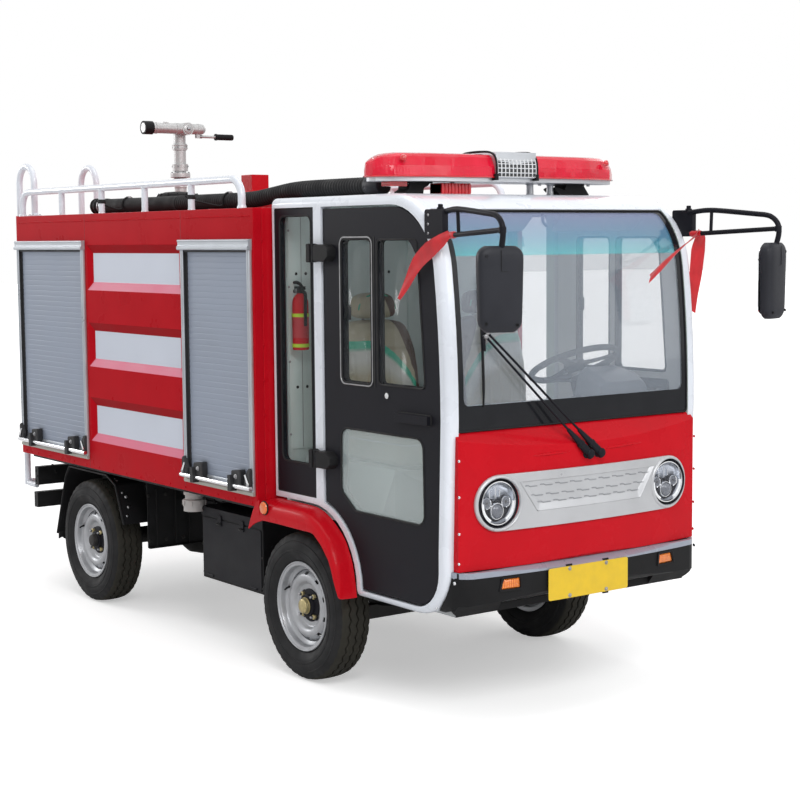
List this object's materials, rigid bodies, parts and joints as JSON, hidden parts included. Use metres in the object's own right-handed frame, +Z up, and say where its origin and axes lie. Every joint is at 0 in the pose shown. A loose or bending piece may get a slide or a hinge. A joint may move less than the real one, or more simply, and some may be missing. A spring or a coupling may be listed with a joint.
{
  "type": "water tanker fire truck",
  "caption": "Small electric water tanker fire truck: cab with rear-hinged glazed doors, shuttered body, deck rails, ladder, suction hose, light bar and swivelling water monitor.",
  "frame": {"origin": "on the ground under the middle of the overall box", "axes": "+X towards the front of the truck, +Y towards its left side, +Z up"},
  "size_m": [3.9224, 1.4872, 2.336],
  "materials": {
    "chassis_frame": "satin black paint",
    "front_axle": "black",
    "rear_axle": "black",
    "leaf_springs": "satin black paint",
    "battery_boxes": "black plastic",
    "rear_mudguards": "black plastic",
    "outlet_pipe": "dull",
    "cab_floor": "light grey",
    "cab_rear_wall": "gloss white paint",
    "cab_roof": "gloss white paint",
    "cab_sides": "gloss white paint",
    "door_hinges": "satin black paint",
    "front_panel": "gloss red paint",
    "front_bumper": "black plastic",
    "grille_trim": "silver",
    "headlamps": "clear lens",
    "signal_lamps": "amber and red lens",
    "fixed_glass": "clear tinted",
    "quarter_frames": "satin black paint",
    "seats": "beige leather",
    "dashboard": "light grey",
    "fire_extinguisher": "gloss red paint",
    "wipers": "black plastic",
    "mirrors": "black plastic",
    "front_fenders": "gloss red",
    "light_bar_base": "satin anodised",
    "light_bar_lenses": "clear red lens",
    "box_sides": "gloss red paint",
    "box_ends": "gloss red paint",
    "box_deck": "gloss red paint",
    "box_floor": "satin black paint",
    "shutter_frames": "satin anodised",
    "shutter_curtains": "satin anodised",
    "shutter_bars": "satin anodised",
    "water_tank": "white",
    "roof_rails": "gloss white paint",
    "ladder": "gloss white paint",
    "suction_hose": "black rubber",
    "deck_hatch": "gloss red paint",
    "monitor_post": "cast, satin",
    "knuckle_right": "black",
    "knuckle_left": "black",
    "tie_rod": "satin black paint",
    "tyre_front_right": "black rubber",
    "rim_front_right": "silver paint",
    "tyre_front_left": "black rubber",
    "rim_front_left": "silver paint",
    "tyre_rear_right": "black rubber",
    "rim_rear_right": "silver paint",
    "tyre_rear_left": "black rubber",
    "rim_rear_left": "silver paint",
    "door_right": "satin black paint",
    "door_glass_right": "clear tinted",
    "door_left": "satin black paint",
    "door_glass_left": "clear tinted",
    "steering_wheel": "black plastic",
    "monitor_head": "cast, satin",
    "monitor_barrel": "cast, satin"
  },
  "bodies": {
    "truck": {"chassis_frame": "chassis_frame", "front_axle": "front_axle", "rear_axle": "rear_axle", "leaf_springs": "leaf_springs", "battery_boxes": "battery_boxes", "rear_mudguards": "rear_mudguards", "outlet_pipe": "outlet_pipe", "cab_floor": "cab_floor", "cab_rear_wall": "cab_rear_wall", "cab_roof": "cab_roof", "cab_sides": "cab_sides", "door_hinges": "door_hinges", "front_panel": "front_panel", "front_bumper": "front_bumper", "grille_trim": "grille_trim", "headlamps": "headlamps", "signal_lamps": "signal_lamps", "fixed_glass": "fixed_glass", "quarter_frames": "quarter_frames", "seats": "seats", "dashboard": "dashboard", "fire_extinguisher": "fire_extinguisher", "wipers": "wipers", "mirrors": "mirrors", "front_fenders": "front_fenders", "light_bar_base": "light_bar_base", "light_bar_lenses": "light_bar_lenses", "box_sides": "box_sides", "box_ends": "box_ends", "box_deck": "box_deck", "box_floor": "box_floor", "shutter_frames": "shutter_frames", "shutter_curtains": "shutter_curtains", "shutter_bars": "shutter_bars", "water_tank": "water_tank", "roof_rails": "roof_rails", "ladder": "ladder", "suction_hose": "suction_hose", "deck_hatch": "deck_hatch", "monitor_post": "monitor_post"},
    "right_steer": {"knuckle_right": "knuckle_right"},
    "left_steer": {"knuckle_left": "knuckle_left"},
    "tie_link": {"tie_rod": "tie_rod"},
    "wheel_front_right": {"tyre_front_right": "tyre_front_right", "rim_front_right": "rim_front_right"},
    "wheel_front_left": {"tyre_front_left": "tyre_front_left", "rim_front_left": "rim_front_left"},
    "wheel_rear_right": {"tyre_rear_right": "tyre_rear_right", "rim_rear_right": "rim_rear_right"},
    "wheel_rear_left": {"tyre_rear_left": "tyre_rear_left", "rim_rear_left": "rim_rear_left"},
    "right_door": {"door_right": "door_right", "door_glass_right": "door_glass_right"},
    "left_door": {"door_left": "door_left", "door_glass_left": "door_glass_left"},
    "hand_wheel": {"steering_wheel": "steering_wheel"},
    "gun_head": {"monitor_head": "monitor_head"},
    "gun_barrel": {"monitor_barrel": "monitor_barrel"}
  },
  "joints": [
    {"name": "steer_left", "type": "hinge", "parent": "truck", "child": "left_steer", "pos_m": [0.65475, 0.49, 0.296], "axis": [0, 0, 1], "range_deg": [-30, 30]},
    {"name": "steer_right", "type": "hinge", "parent": "truck", "child": "right_steer", "pos_m": [0.65475, -0.49, 0.296], "axis": [0, 0, 1], "range_deg": [-30, 30]},
    {"name": "tie_rod_pivot", "type": "hinge", "parent": "left_steer", "child": "tie_link", "pos_m": [0.52475, 0.49, 0.246], "axis": [0, 0, 1], "range_deg": [-30, 30]},
    {"name": "hand_wheel_turn", "type": "hinge", "parent": "truck", "child": "hand_wheel", "pos_m": [1.21475, 0.3, 1.235], "axis": [-0.4226, 0, 0.9063], "range_deg": [-390, 390]},
    {"name": "wheel_front_left_spin", "type": "hinge", "parent": "left_steer", "child": "wheel_front_left", "pos_m": [0.65475, 0.58, 0.296], "axis": [0, 1, 0], "continuous": true},
    {"name": "wheel_front_right_spin", "type": "hinge", "parent": "right_steer", "child": "wheel_front_right", "pos_m": [0.65475, -0.58, 0.296], "axis": [0, 1, 0], "continuous": true},
    {"name": "wheel_rear_left_spin", "type": "hinge", "parent": "truck", "child": "wheel_rear_left", "pos_m": [-1.22525, 0.58, 0.296], "axis": [0, 1, 0], "continuous": true},
    {"name": "wheel_rear_right_spin", "type": "hinge", "parent": "truck", "child": "wheel_rear_right", "pos_m": [-1.22525, -0.58, 0.296], "axis": [0, 1, 0], "continuous": true},
    {"name": "door_right_swing", "type": "hinge", "parent": "truck", "child": "right_door", "pos_m": [0.77275, -0.64, 1.295], "axis": [0, 0, -1], "range_deg": [0, 75]},
    {"name": "door_left_swing", "type": "hinge", "parent": "truck", "child": "left_door", "pos_m": [0.77275, 0.64, 1.295], "axis": [0, 0, 1], "range_deg": [0, 75]},
    {"name": "monitor_swivel", "type": "hinge", "parent": "truck", "child": "gun_head", "pos_m": [-1.42525, 0, 2.105], "axis": [0, 0, 1], "continuous": true},
    {"name": "monitor_elevate", "type": "hinge", "parent": "gun_head", "child": "gun_barrel", "pos_m": [-1.35925, 0, 2.303], "axis": [-1, 0, 0], "range_deg": [-15, 70]}
  ],
  "couplings": [
    {"joint": "steer_right", "follows": "steer_left", "ratio": 1},
    {"joint": "tie_rod_pivot", "follows": "steer_left", "ratio": -1},
    {"joint": "hand_wheel_turn", "follows": "steer_left", "ratio": 13}
  ]
}
